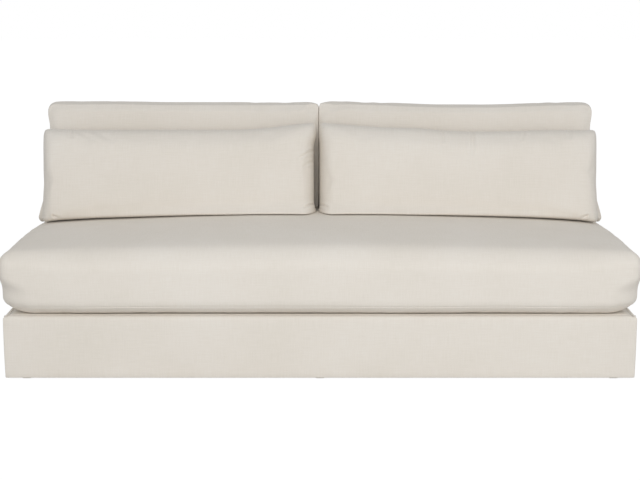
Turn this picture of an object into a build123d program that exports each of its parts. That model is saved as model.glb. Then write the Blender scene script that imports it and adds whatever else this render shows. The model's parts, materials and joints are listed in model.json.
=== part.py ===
from build123d import *
import os
from math import cos, radians, sin, tan

# An armless sofa: an upholstered base and back with one full-width seat cushion,
# two back cushions and two lumbar cushions, all five loose and zipped.
# X runs along the sofa, the front faces -Y and Z is up. The origin is on the floor
# under the middle of the whole sofa. Sizes are in millimetres, angles in degrees.

# Base and back
base_width = 2160
base_depth = 1021
base_top = 224
back_height = 700
back_lean = 14
seat_depth = 825             # from the base's front to the foot of the inside back
back_head_depth = 77.32      # of the back, level, at its top
edge_round = 12
lip_width = 17               # border cloth turned in over the edges

# Cloth and foam
fabric = 1.5
border_foam = 12
deck_foam = 20
back_foam = 20
lining = 1.0
cambric = 1.0
cloth_ease = 0.3             # play between cloth layers

# Timber
rail_thickness = 28
stretcher_height = 110
stretcher_spacing = 720
back_rail_height = 90
tack_rail_height = 45
tack_rail_lift = 8           # above the deck
rear_rail_height = 70
block_leg = 75
block_height = 100
block_lift = 30

# Webbing
webbing = 2.0
strap_width = 70
weave_gap = 0.2
long_straps = 5
cross_straps = 12
back_straps = 12
back_strap_width = 50
strap_margin = 6             # from a strap's end to the rail's far edge

# Bolts and feet
glide_height = 7.0
glide_width = 30
glide_bevel = 2
glide_inset = 70
bolt_radius = 4.0
bolt_head_radius = 9.0
bolt_head_height = 3.5
bolt_tail = 3                # thread standing past the nut
bolt_play = 0.15
nut_width = 13.0
nut_height = 6.5

# Seat cushion
seat_overhang = 22
seat_bulge = 16
seat_thickness = 236         # at the shoulder, mid-length
seat_crown = 21
seat_end_drop = 22
seat_middle_flat = 3         # the crown's top runs level over the middle
seat_back_gap = 5            # from the cushion to the foot of the inside back
nose_bulge = 9
seat_nose_radius = 70
seat_foot_radius = 40
seat_edge_radius = 40
fibre_wrap = 18

# Back cushions
back_thickness = 182
back_cushion_height = 428
back_lift = 200              # along the lean, above the base
back_taper = 25
back_arch = 6
back_split = 3
back_corner_radius = 28
back_edge_radius = 40

# Lumbar cushions
lumbar_thickness = 173
lumbar_height = 330
lumbar_lift = 167
lumbar_split = 22
lumbar_end_inset = 42        # from the base's end to the cushion's end
lumbar_arch = 8
lumbar_corner_radius = 30
lumbar_edge_radius = 55
lumbar_rear_radius = 35
lumbar_top_radius = 76
lumbar_end_radius = 60

# Fits between cushions, and inside them
seat_gap = 0.3
cushion_gap = 0.7
fill_ease = 0.7

# Zips
zip_width = 22
zip_slit = 1.2
slider_length = 12
slider_width = 8
slider_plate = 1.2
slider_play = 0.3
pull_length = 20
pull_width = 5
zip_groove = 6
zip_end = 20                 # closed stretch at each end of a zip
seat_zip_length = 1500
back_zip_length = 760
lumbar_zip_length = 560
back_zip_setback = 22        # from the rear face, along the bottom
lumbar_zip_lift = 222        # along the lean, above the base

# Levels, edges and planes that follow from them
rail_bottom = glide_height + cambric
hem_bottom = rail_bottom - fabric
weave_height = 2 * webbing + weave_gap
rail_top = base_top - fabric - deck_foam - lining - cloth_ease - weave_height
half_width = base_width / 2
front_y = (seat_overhang - base_depth) / 2
rear_y = front_y + base_depth
skin = fabric + border_foam
rail_end_x = half_width - skin
rail_front_y = front_y + skin
rail_rear_y = rear_y - fabric
rail_inner_x = rail_end_x - rail_thickness
front_rail_inner_y = rail_front_y + rail_thickness
back_layers = fabric + back_foam + lining + webbing
back_frame_top = back_height - skin
lean_sin = sin(radians(back_lean))
lean_cos = cos(radians(back_lean))


def lean_y(level, behind=0):
    """Y of the inside back at a level, moved behind its face."""
    foot_y = front_y + seat_depth
    return foot_y + (level - base_top) * tan(radians(back_lean)) + behind / lean_cos


head_rear_y = round(lean_y(back_height) + back_head_depth, 3)


def rear_line(level, inside=0):
    """Y of the outside back at a level above the base, moved inside its face."""
    share = (level - base_top) / (back_height - base_top)
    return rear_y + share * (head_rear_y - rear_y) - inside


def lean_plane(up, forward):
    """A plane parallel to the inside back, facing forward, moved up the lean."""
    y = front_y + seat_depth + up * lean_sin - forward * lean_cos
    z = base_top + up * lean_cos + forward * lean_sin
    return Plane(origin=(0, y, z), x_dir=(1, 0, 0), z_dir=(0, -lean_cos, lean_sin))


def block(x_range, y_range, z_range):
    """A square-cut block between two opposite corners."""
    with BuildPart() as piece:
        with BuildSketch(Plane.XY.offset(z_range[0])):
            with Locations((sum(x_range) / 2, sum(y_range) / 2)):
                Rectangle(x_range[1] - x_range[0], y_range[1] - y_range[0])
        extrude(amount=z_range[1] - z_range[0])
    return piece.part


def profile_bar(points, x_range):
    """A profile drawn in the YZ plane and drawn out along X."""
    with BuildPart() as piece:
        with BuildSketch(Plane.YZ.offset(x_range[0])):
            with BuildLine():
                Polyline(*points, close=True)
            make_face()
        extrude(amount=x_range[1] - x_range[0])
    return piece.part


def lean_bar(levels, depths, x_range):
    """A bar between two levels and two depths behind the inside back's face."""
    low, high = levels
    near, far = depths
    points = (
        (lean_y(low, near), low),
        (lean_y(low, far), low),
        (lean_y(high, far), high),
        (lean_y(high, near), high),
    )
    return profile_bar(points, x_range)


def both_ends(reach):
    return (-reach, reach)


def save(piece, name):
    piece.label = name
    export_step(piece, f"parts/{name}.step")


os.makedirs("parts", exist_ok=True)

# Timber frame: where its pieces meet

post_front_y = lean_y(rail_top, back_layers)
seat_rail_rear_y = post_front_y + rail_thickness
rear_rail_front_y = rail_rear_y - rail_thickness
rear_rail_top = rail_bottom + rear_rail_height
tack_rail_bottom = base_top + tack_rail_lift
tack_rail_levels = (tack_rail_bottom, tack_rail_bottom + tack_rail_height)
top_rail_levels = (back_frame_top - back_rail_height, back_frame_top)
back_rail_depths = (back_layers, back_layers + rail_thickness * lean_cos)
lap = rail_thickness / 2
lap_x = rail_inner_x + lap
bolt_y = (seat_rail_rear_y + rear_rail_front_y) / 2
bolt_level = (rail_bottom + rail_top) / 2
stretcher_xs = (-stretcher_spacing, 0, stretcher_spacing)
glide_line = lip_width + cloth_ease + glide_width / 2
glide_places = [(x, front_y + glide_line) for x in (glide_inset - half_width, 0, half_width - glide_inset)]
glide_places += [(side * (half_width - glide_line), rear_y - glide_inset) for side in (-1, 1)]
glide_places += [(0, rear_y - glide_inset)]


def rod(place, radius, length):
    """A round rod from a plane's origin backwards, square to the plane."""
    with BuildPart() as piece:
        with BuildSketch(place):
            Circle(radius)
        extrude(amount=-length)
    return piece.part


def headed(place, head, shank):
    """A headed rod, flush with a plane."""
    with BuildPart() as piece:
        add(rod(place, *head))
        add(rod(place, *shank))
    return piece.part


def bolt_plane(side, x):
    """Square to an end post's bolt, facing outwards."""
    return Plane(origin=(side * x, bolt_y, bolt_level), x_dir=(0, side, 0), z_dir=(side, 0, 0))


def build_cross_rails():
    front_y_range = (rail_front_y, front_rail_inner_y)
    seat_y_range = (post_front_y, seat_rail_rear_y)
    foot_y_range = (rear_rail_front_y, rail_rear_y)
    full_height = (rail_bottom, rail_top)
    reach = both_ends(rail_inner_x)
    save(block(reach, front_y_range, full_height), "front_rail")
    save(block(reach, seat_y_range, full_height), "seat_rear_rail")
    save(block(reach, foot_y_range, (rail_bottom, rear_rail_top)), "back_foot_rail")


def build_end_rail(side, name):
    """An end rail, halved at the rear where the post laps it."""
    with BuildPart() as end_rail:
        x_range = sorted((side * rail_inner_x, side * rail_end_x))
        add(block(x_range, (rail_front_y, rail_rear_y), (rail_bottom, rail_top)))
        lap_range = sorted((side * rail_inner_x, side * lap_x))
        add(block(lap_range, (seat_rail_rear_y, rail_rear_y), (rail_bottom, rail_top)), mode=Mode.SUBTRACT)
        head = (bolt_head_radius + bolt_play, bolt_head_height)
        shank = (bolt_radius + bolt_play, rail_thickness)
        add(headed(bolt_plane(side, rail_end_x), head, shank), mode=Mode.SUBTRACT)
    save(end_rail.part, name)


def post_solid(x_range):
    """A back post: upright behind, leaning in front, let in around the rails."""
    points = (
        (seat_rail_rear_y, rail_bottom),
        (rail_rear_y, rail_bottom),
        (rail_rear_y, base_top),
        (rear_line(back_frame_top, fabric), back_frame_top),
        (lean_y(back_frame_top, back_layers), back_frame_top),
        (post_front_y, rail_top),
        (seat_rail_rear_y, rail_top),
    )
    with BuildPart() as post:
        add(profile_bar(points, x_range))
        add(lean_bar(tack_rail_levels, back_rail_depths, x_range), mode=Mode.SUBTRACT)
        add(lean_bar(top_rail_levels, back_rail_depths, x_range), mode=Mode.SUBTRACT)
    return post.part


def build_end_post(side, name):
    """An end post, halved at its foot to lap the end rail."""
    with BuildPart() as end_post:
        add(post_solid(sorted((side * rail_inner_x, side * rail_end_x))))
        lap_range = sorted((side * lap_x, side * rail_end_x))
        add(block(lap_range, (seat_rail_rear_y, rail_rear_y), (rail_bottom, rail_top)), mode=Mode.SUBTRACT)
        add(rod(bolt_plane(side, lap_x), bolt_radius + bolt_play, lap), mode=Mode.SUBTRACT)
    save(end_post.part, name)


def build_centre_post():
    with BuildPart() as centre_post:
        add(post_solid(both_ends(rail_thickness / 2)))
        y_range = (rear_rail_front_y, rail_rear_y)
        add(block(both_ends(rail_thickness), y_range, (rail_bottom, rear_rail_top)), mode=Mode.SUBTRACT)
    save(centre_post.part, "centre_back_post")


def build_stretchers():
    """Bearers from the front rail to the seat's rear rail, low enough to clear the webbing."""
    with BuildPart() as seat_stretchers:
        for x in stretcher_xs:
            x_range = (x - rail_thickness / 2, x + rail_thickness / 2)
            y_range = (front_rail_inner_y, post_front_y)
            add(block(x_range, y_range, (rail_bottom, rail_bottom + stretcher_height)))
    save(seat_stretchers.part, "seat_stretchers")


def build_corner_blocks():
    """Three-cornered glue blocks behind the corners of the seat frame."""
    with BuildPart() as corner_blocks:
        with BuildSketch(Plane.XY.offset(rail_bottom + block_lift)):
            for side in (-1, 1):
                for facing, y in ((1, front_rail_inner_y), (-1, post_front_y)):
                    x = side * rail_inner_x
                    with BuildLine():
                        Polyline((x, y), (x - side * block_leg, y), (x, y + facing * block_leg), close=True)
                    make_face()
        extrude(amount=block_height)
    save(corner_blocks.part, "corner_blocks")


def build_post_bolts():
    """Bolts that clamp the end posts to the end rails, with their nuts inside."""
    length = rail_thickness + nut_height + bolt_tail
    with BuildPart() as post_bolts:
        for side in (-1, 1):
            head = (bolt_head_radius, bolt_head_height)
            add(headed(bolt_plane(side, rail_end_x), head, (bolt_radius, length)))
    save(post_bolts.part, "post_bolts")

    with BuildPart() as post_nuts:
        for side in (-1, 1):
            with BuildSketch(bolt_plane(side, rail_inner_x)):
                RegularPolygon(nut_width / 2, 6, major_radius=False)
                Circle(bolt_radius + bolt_play, mode=Mode.SUBTRACT)
            extrude(amount=-nut_height)
    save(post_nuts.part, "post_nuts")


def build_glides():
    """Square plastic glides under the rails and the posts."""
    with BuildPart() as floor_glides:
        with BuildSketch():
            with Locations(*glide_places):
                Rectangle(glide_width, glide_width)
        extrude(amount=glide_height)
        chamfer(floor_glides.edges().group_by(Axis.Z)[0], glide_bevel)
    save(floor_glides.part, "floor_glides")


def build_dust_cover():
    inner = lip_width + cloth_ease
    y_range = (front_y + inner, rear_y - inner)
    save(block(both_ends(half_width - inner), y_range, (glide_height, rail_bottom)), "dust_cover")


# Seat deck: woven straps, a lining, a foam pad and its cloth

strap_pitch = (post_front_y - front_rail_inner_y) / long_straps
long_strap_ys = [front_rail_inner_y + strap_pitch * (number + 0.5) for number in range(long_straps)]
cross_pitch = 2 * rail_inner_x / cross_straps
cross_strap_xs = [cross_pitch * (number + 0.5) - rail_inner_x for number in range(cross_straps)]


def build_long_straps():
    with BuildPart() as seat_webbing_long:
        for y in long_strap_ys:
            y_range = (y - strap_width / 2, y + strap_width / 2)
            x_reach = rail_end_x - strap_margin
            add(block(both_ends(x_reach), y_range, (rail_top, rail_top + webbing)))
    save(seat_webbing_long.part, "seat_webbing_long")


def build_cross_straps():
    """Each strap runs over one long strap and under the next, and neighbours alternate."""
    with BuildPart() as seat_webbing_cross:
        for number, x in enumerate(cross_strap_xs):
            underside = [(rail_front_y + strap_margin, rail_top), (front_rail_inner_y, rail_top)]
            for crossing, y in enumerate(long_strap_ys):
                rise = webbing + weave_gap
                level = rail_top + (rise if (number + crossing) % 2 == 0 else -rise)
                reach = strap_width / 2 + webbing
                underside += [(y - reach, level), (y + reach, level)]
            underside += [(post_front_y, rail_top), (seat_rail_rear_y - strap_margin, rail_top)]
            upper = [(y, z + webbing) for y, z in reversed(underside)]
            x_range = (x - strap_width / 2, x + strap_width / 2)
            add(profile_bar(underside + upper, x_range))
    save(seat_webbing_cross.part, "seat_webbing_cross")


def build_deck():
    lining_bottom = rail_top + weave_height + cloth_ease
    pad_bottom = lining_bottom + lining
    cloth_bottom = base_top - fabric
    rear = post_front_y - cloth_ease
    ends = both_ends(rail_end_x)
    save(block(ends, (rail_front_y, rear), (lining_bottom, pad_bottom)), "seat_lining")
    save(block(ends, (rail_front_y, rear), (pad_bottom, cloth_bottom)), "deck_pad")
    inner = lip_width + cloth_ease
    deck_ends = both_ends(half_width - inner)
    save(block(deck_ends, (front_y + inner, rear), (cloth_bottom, base_top)), "deck_cover")


# Border: foam and cloth round the front and the ends, mitred at the front corners

def base_solid(inset, bottom):
    """The base's rounded outside, set in by an inset, open to the outside back."""
    with BuildPart() as solid:
        y_range = (front_y + inset, rail_rear_y)
        add(block(both_ends(half_width - inset), y_range, (bottom, base_top - inset)))
        radius = edge_round - inset
        uprights = solid.edges().filter_by(Axis.Z).group_by(Axis.Y)[0]
        fillet(uprights, radius)
        top_edges = solid.faces().sort_by(Axis.Z)[-1].edges()
        fillet(top_edges.sort_by(Axis.Y)[:-1], radius)
    return solid.part


def border_zone(side):
    """The front's or an end's share of the base, parted along the corner's diagonal."""
    reach = rail_front_y + block_leg - front_y
    spare = edge_round
    outer = half_width + spare
    inner = half_width - reach
    if side == 0:
        points = (
            (-outer, front_y - spare),
            (outer, front_y - spare),
            (inner, front_y + reach),
            (-inner, front_y + reach),
        )
    else:
        points = (
            (side * outer, front_y - spare),
            (side * inner, front_y + reach),
            (side * inner, rear_y),
            (side * outer, rear_y),
        )
    with BuildPart() as zone:
        with BuildSketch():
            with BuildLine():
                Polyline(*points, close=True)
            make_face()
        extrude(amount=base_top + spare)
    return zone.part


def build_border(side, name):
    """Border cloth, turned in above the deck's foam and below the rails."""
    opening = both_ends(half_width - lip_width)
    opening_y = (front_y + lip_width, rear_y)
    back_foot = (lean_y(base_top) - cloth_ease, rear_y)
    beside_posts = both_ends(rail_end_x + cloth_ease)
    with BuildPart() as border:
        add(base_solid(0, hem_bottom))
        add(base_solid(fabric, rail_bottom), mode=Mode.SUBTRACT)
        add(block(opening, opening_y, (0, base_top)), mode=Mode.SUBTRACT)
        add(block(beside_posts, back_foot, (rail_bottom, base_top)), mode=Mode.SUBTRACT)
        add(border_zone(side), mode=Mode.INTERSECT)
    save(border.part, name)


def build_border_pad(side, name):
    with BuildPart() as pad:
        add(base_solid(fabric, rail_bottom))
        y_range = (rail_front_y, rear_y)
        add(block(both_ends(rail_end_x), y_range, (rail_bottom, base_top)), mode=Mode.SUBTRACT)
        add(border_zone(side), mode=Mode.INTERSECT)
    save(pad.part, name)


# Back: straps, lining, foam and cloth over the posts, and a cloth panel behind

back_foot_level = base_top + cloth_ease


def back_solid(inset):
    """The upholstered back's outside, set in by an inset."""
    top = back_height - inset
    points = (
        (lean_y(back_foot_level, inset), back_foot_level),
        (rear_line(back_foot_level, fabric), back_foot_level),
        (rear_line(top, fabric), top),
        (lean_y(top, inset), top),
    )
    with BuildPart() as solid:
        add(profile_bar(points, both_ends(half_width - inset)))
        front_face = solid.faces().sort_by(Axis.Y)[0]
        front_edges = front_face.edges().sort_by(Axis.Z)[1:]
        top_face = solid.faces().sort_by(Axis.Z)[-1]
        end_edges = top_face.edges().filter_by(Axis.Y)
        fillet(front_edges + end_edges, edge_round - inset)
    return solid.part


def build_back():
    frame_levels = (tack_rail_levels[0], back_frame_top)
    strap_depths = (fabric + back_foam + lining, back_layers)
    pitch = 2 * rail_end_x / back_straps
    with BuildPart() as back_webbing:
        for number in range(back_straps):
            x = pitch * (number + 0.5) - rail_end_x
            x_range = (x - back_strap_width / 2, x + back_strap_width / 2)
            add(lean_bar(frame_levels, strap_depths, x_range))
    save(back_webbing.part, "back_webbing")

    lining_depths = (fabric + back_foam, fabric + back_foam + lining)
    lining_levels = (back_foot_level, back_frame_top)
    save(lean_bar(lining_levels, lining_depths, both_ends(rail_end_x)), "back_lining")

    inside_points = (
        (lean_y(0, fabric + back_foam), 0),
        (rear_y, 0),
        (rear_y, base_top),
        (rear_line(back_frame_top), back_frame_top),
        (lean_y(back_frame_top, fabric + back_foam), back_frame_top),
    )
    with BuildPart() as back_pad:
        add(back_solid(fabric))
        add(profile_bar(inside_points, both_ends(rail_end_x)), mode=Mode.SUBTRACT)
    save(back_pad.part, "back_pad")

    with BuildPart() as back_cover:
        add(back_solid(0))
        add(back_solid(fabric), mode=Mode.SUBTRACT)
    save(back_cover.part, "back_cover")

    panel_points = (
        (rear_y, hem_bottom),
        (rear_y, base_top),
        (rear_line(back_height), back_height),
        (rear_line(back_height, fabric), back_height),
        (rail_rear_y, base_top),
        (rail_rear_y, hem_bottom),
    )
    with BuildPart() as outside_back_panel:
        add(profile_bar(panel_points, both_ends(half_width)))
        with BuildSketch(Plane.XZ) as rear_view:
            with Locations((0, back_height / 2)):
                Rectangle(2 * half_width, back_height)
            fillet(rear_view.vertices().group_by(Axis.Y)[-1], edge_round)
        extrude(amount=base_depth, both=True, mode=Mode.INTERSECT)
        lip_reach = both_ends(half_width - lip_width - cloth_ease)
        add(block(lip_reach, (rear_y - lip_width, rear_y), (hem_bottom, rail_bottom)))
    save(outside_back_panel.part, "outside_back_panel")


def build_frame():
    build_cross_rails()
    build_stretchers()
    build_centre_post()
    build_corner_blocks()
    build_post_bolts()
    rail_ends = both_ends(rail_end_x)
    save(lean_bar(tack_rail_levels, back_rail_depths, rail_ends), "back_tack_rail")
    save(lean_bar(top_rail_levels, back_rail_depths, rail_ends), "back_top_rail")
    for side, word in ((-1, "left"), (1, "right")):
        build_end_rail(side, f"{word}_end_rail")
        build_end_post(side, f"{word}_back_post")
    for side, word in ((-1, "left"), (0, "front"), (1, "right")):
        build_border(side, f"{word}_border")
        build_border_pad(side, f"{word}_border_pad")
    build_glides()
    build_dust_cover()
    build_long_straps()
    build_cross_straps()
    build_deck()
    build_back()


# Cushions: each form is drawn once and set in for the cloth's inside and for the fill.
# Covers have rounded edges. Fills are cut back at 45 degrees inside them.

seat_bottom = base_top + seat_gap
seat_shoulder = base_top + seat_thickness
seat_end = half_width + seat_bulge
seat_nose_y = front_y - seat_overhang + nose_bulge
seat_rear_y = front_y + seat_depth - seat_back_gap
fill_inset = fabric + fill_ease
bevel_share = 0.9            # of a round's radius, so that a bevel lies just inside it
view_ease = 1.0              # a form's other views stand off its section, so that only their curves cut


def rounded(corners, radius):
    fillet(corners, radius)


def bevelled(corners, radius):
    chamfer(corners, bevel_share * radius)


def seat_section(inset, soften):
    """The seat cushion from the side: a full nose and a crowned top."""
    nose = seat_nose_y + inset
    rear = seat_rear_y - inset
    bottom = seat_bottom + inset
    shoulder = seat_shoulder - inset
    with BuildPart() as piece:
        with BuildSketch(Plane.YZ) as section:
            with BuildLine():
                Polyline((nose, bottom), (rear, bottom), (rear, shoulder))
                ThreePointArc((rear, shoulder), ((nose + rear) / 2, shoulder + seat_crown), (nose, shoulder))
                ThreePointArc((nose, shoulder), (nose - nose_bulge, (bottom + shoulder) / 2), (nose, bottom))
            make_face()
            corners = (
                ((nose, shoulder), seat_nose_radius),
                ((nose, bottom), seat_foot_radius),
                ((rear, shoulder), seat_edge_radius),
            )
            for place, radius in corners:
                corner = section.vertices().sort_by_distance((*place, 0))[0]
                soften(corner, radius - inset)
        extrude(amount=base_width, both=True)
    return piece.part


def seat_front(inset, soften):
    """The seat cushion from the front: its top falls away to softened ends."""
    reach = seat_end - inset
    bottom = seat_bottom + inset - view_ease
    end_top = seat_shoulder - seat_end_drop - inset
    middle_top = seat_shoulder + seat_crown + seat_middle_flat - inset
    with BuildPart() as piece:
        with BuildSketch(Plane.XZ) as outline:
            with BuildLine():
                Polyline((-reach, end_top), (-reach, bottom), (reach, bottom), (reach, end_top))
                ThreePointArc((reach, end_top), (0, middle_top), (-reach, end_top))
            make_face()
            soften(outline.vertices(), seat_edge_radius - inset)
        extrude(amount=base_depth, both=True)
    return piece.part


def seat_plan(inset, soften):
    """The seat cushion from above, with softened corners."""
    reach = seat_end - inset + view_ease
    rear = seat_rear_y - inset + view_ease
    front = seat_nose_y - nose_bulge + inset - view_ease
    with BuildPart() as piece:
        with BuildSketch() as outline:
            with BuildLine():
                Polyline((-reach, rear), (-reach, front), (reach, front), (reach, rear), close=True)
            make_face()
            soften(outline.vertices(), seat_edge_radius - inset)
        extrude(amount=seat_shoulder + seat_thickness)
    return piece.part


def seat_form(inset, soften=rounded):
    """What the seat cushion's three views have in common."""
    with BuildPart() as form:
        add(seat_section(inset, soften))
        add(seat_front(inset, soften), mode=Mode.INTERSECT)
        add(seat_plan(inset, soften), mode=Mode.INTERSECT)
    return form.part


def cushion_outline(side, reaches, height, arch, corner, inset, soften):
    """A loose cushion's front outline on its own plane, tapered and arched at the top."""
    inner, outer_foot, outer_top = reaches
    with BuildSketch(mode=Mode.PRIVATE) as shape:
        with BuildLine():
            Polyline(
                (side * inner, height),
                (side * inner, 0),
                (side * outer_foot, 0),
                (side * outer_top, height),
            )
            ThreePointArc(
                (side * outer_top, height),
                (side * (inner + outer_top) / 2, height + arch),
                (side * inner, height),
            )
        make_face()
        soften(shape.vertices().sort_by(Axis.Y)[-2:], corner)
        if inset > 0:
            offset(amount=-inset, kind=Kind.INTERSECTION)
    return shape.sketch


def cut_to_seat(form, inset):
    """A cushion's form with room below it for the seat cushion."""
    with BuildPart() as seated:
        add(form)
        add(seat_form(-cushion_gap - inset), mode=Mode.SUBTRACT)
    return seated.part


def cushion_section(rear_plane, height, thickness, radii, inset, soften):
    """A loose cushion from the side, its corners softened in turn from the front foot."""
    near = inset - thickness
    top = height + view_ease - inset
    bottom = inset - view_ease
    corners = ((near, bottom), (-inset, bottom), (-inset, top), (near, top))
    side_plane = Plane(origin=rear_plane.origin, x_dir=-rear_plane.z_dir, z_dir=(1, 0, 0))
    with BuildPart() as piece:
        with BuildSketch(side_plane) as section:
            with BuildLine():
                Polyline(*corners, close=True)
            make_face()
            for place, radius in zip(corners, radii):
                if radius > 0:
                    corner = section.vertices().sort_by_distance((*place, 0))[0]
                    soften(corner, radius - inset)
        extrude(amount=base_width, both=True)
    return piece.part


def back_end(rear_plane, foot, lean, outward, inset, soften):
    """A back cushion's end from above, along its end's own slope, with its front corner softened."""
    along = (rear_plane.y_dir * back_cushion_height - rear_plane.x_dir * lean).normalized()
    plane = Plane(rear_plane.origin + rear_plane.x_dir * foot, x_dir=rear_plane.z_dir, z_dir=along)
    with BuildPart() as end:
        with BuildSketch(plane) as plan:
            with Locations((back_thickness / 2, outward * (view_ease - inset - base_width / 2))):
                Rectangle(back_thickness - 2 * (inset - view_ease), base_width)
            front_corners = plan.vertices().group_by(Axis.X)[-1]
            corner = front_corners.sort_by(Axis.Y)[-1 if outward > 0 else 0]
            soften(corner, back_edge_radius - inset)
        extrude(amount=2 * back_cushion_height, both=True)
    return end.part


def back_form(side, inset, soften=rounded):
    """A boxed cushion leaning on the inside back, softened round its front."""
    inner = back_split / 2
    crest = back_cushion_height + back_arch
    rear_plane = lean_plane(back_lift, cushion_gap)
    outline = (side, (inner, half_width, half_width - back_taper), back_cushion_height, back_arch)
    section = (rear_plane, crest, back_thickness, (back_edge_radius, 0, 0, back_edge_radius))
    with BuildPart() as form:
        with BuildSketch(rear_plane):
            add(cushion_outline(*outline, back_corner_radius, inset, soften))
        extrude(amount=back_thickness)
        add(cushion_section(*section, inset, soften), mode=Mode.INTERSECT)
        inner_end = back_end(rear_plane, side * inner, 0, -side, inset, soften)
        add(inner_end, mode=Mode.INTERSECT)
        outer_end = back_end(rear_plane, side * half_width, side * back_taper, side, inset, soften)
        add(outer_end, mode=Mode.INTERSECT)
    return cut_to_seat(form.part, inset)


def lumbar_form(side, inset, soften=rounded):
    """A cushion narrow at its seams and full in the middle, flat where it leans."""
    x_range = (lumbar_split / 2, half_width - lumbar_end_inset)
    across = (x_range[0] + inset - view_ease, x_range[1] - inset + view_ease)
    crest = lumbar_height + lumbar_arch
    rear_plane = lean_plane(lumbar_lift, back_thickness + 2 * cushion_gap)
    plan_plane = Plane(rear_plane.origin, x_dir=rear_plane.x_dir, z_dir=rear_plane.y_dir)
    outline = (side, (*x_range, x_range[1]), lumbar_height, lumbar_arch, lumbar_corner_radius)
    radii = (lumbar_edge_radius, lumbar_rear_radius, lumbar_top_radius, lumbar_top_radius)
    section = (rear_plane, crest, lumbar_thickness, radii)
    with BuildPart() as form:
        with BuildSketch(rear_plane):
            add(cushion_outline(*outline, inset, soften))
        extrude(amount=lumbar_thickness)
        add(cushion_section(*section, inset, soften), mode=Mode.INTERSECT)
        with BuildSketch(plan_plane) as plan:
            with Locations((side * sum(across) / 2, -lumbar_thickness / 2)):
                Rectangle(across[1] - across[0], lumbar_thickness - 2 * (inset - view_ease))
            soften(plan.vertices(), lumbar_end_radius - inset)
        extrude(amount=crest, mode=Mode.INTERSECT)
    return cut_to_seat(form.part, inset)


# Zips: two tapes sewn into an opening of the cover, and a slider that straddles them

def zip_opening(place, length):
    with BuildPart() as opening:
        with BuildSketch(place):
            Rectangle(length, zip_width)
        extrude(amount=-2 * fabric)
    return opening.part


def zip_recess(place, length):
    """Room in the fill for the slider's inner plate."""
    with BuildPart() as recess:
        with BuildSketch(place):
            Rectangle(length, slider_width + 2 * fill_ease)
        extrude(amount=-fabric - zip_groove)
    return recess.part


def save_zip(place, length, name):
    with BuildPart() as zip_tape:
        with BuildSketch(place):
            Rectangle(length, zip_width)
            Rectangle(length, zip_slit, mode=Mode.SUBTRACT)
        extrude(amount=-fabric)
    save(zip_tape.part, f"{name}_zip_tape")

    start = -length / 2 + zip_end
    pull_start = start + slider_length / 2 + pull_length / 2
    tape_play = slider_play + fabric / 2
    middle = place.offset(-fabric / 2)
    with BuildPart() as zip_slider:
        for outward in (tape_play, -tape_play - slider_plate):
            with BuildSketch(middle.offset(outward)):
                with Locations((start, 0)):
                    Rectangle(slider_length, slider_width)
            extrude(amount=slider_plate)
        with BuildSketch(middle.offset(-tape_play)):
            with Locations((start, 0)):
                Rectangle(slider_length / 2, zip_slit - 2 * slider_play)
        extrude(amount=2 * tape_play)
        with BuildSketch(middle.offset(tape_play)):
            with Locations((pull_start, 0)):
                Rectangle(pull_length, pull_width)
        extrude(amount=slider_plate)
    save(zip_slider.part, f"{name}_zip_slider")


def save_cover(form, place, length, name):
    """A cover's cloth, hollow, with its zip's opening."""
    with BuildPart() as cover:
        add(form(0))
        add(form(fabric), mode=Mode.SUBTRACT)
        add(zip_opening(place, length), mode=Mode.SUBTRACT)
    save(cover.part, f"{name}_cover")


def build_seat_cushion():
    place = Plane(
        origin=(0, seat_rear_y, (seat_bottom + seat_shoulder) / 2),
        x_dir=(-1, 0, 0),
        z_dir=(0, 1, 0),
    )
    save_cover(seat_form, place, seat_zip_length, "seat_cushion")
    core_inset = fill_inset + fibre_wrap
    with BuildPart() as seat_cushion_wrap:
        add(seat_form(fill_inset, bevelled))
        add(seat_form(core_inset, bevelled), mode=Mode.SUBTRACT)
        add(zip_recess(place, seat_zip_length), mode=Mode.SUBTRACT)
    save(seat_cushion_wrap.part, "seat_cushion_wrap")
    save(seat_form(core_inset + fill_ease, bevelled), "seat_cushion_core")
    save_zip(place, seat_zip_length, "seat")


def build_loose_cushion(side, form, place, length, name):
    save_cover(lambda inset: form(side, inset), place, length, name)
    with BuildPart() as fill:
        add(form(side, fill_inset, bevelled))
        add(zip_recess(place, length), mode=Mode.SUBTRACT)
    save(fill.part, f"{name}_fill")
    save_zip(place, length, name)


def build_cushions():
    build_seat_cushion()
    for side, word in ((-1, "left"), (1, "right")):
        foot = lean_plane(back_lift, cushion_gap + back_zip_setback)
        middle_x = side * (back_split / 2 + half_width) / 2
        place = Plane(origin=foot.origin + Vector(middle_x, 0, 0), x_dir=(1, 0, 0), z_dir=-foot.y_dir)
        build_loose_cushion(side, back_form, place, back_zip_length, f"{word}_back_cushion")

        rear = lean_plane(lumbar_zip_lift, back_thickness + 2 * cushion_gap)
        middle_x = side * (lumbar_split / 2 + half_width - lumbar_end_inset) / 2
        place = Plane(origin=rear.origin + Vector(middle_x, 0, 0), x_dir=(1, 0, 0), z_dir=-rear.z_dir)
        build_loose_cushion(side, lumbar_form, place, lumbar_zip_length, f"{word}_lumbar_cushion")


build_frame()
build_cushions()
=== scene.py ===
import json
import math

import bmesh
import bpy
import numpy as np
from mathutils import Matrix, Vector, noise
from mathutils.bvhtree import BVHTree


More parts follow.
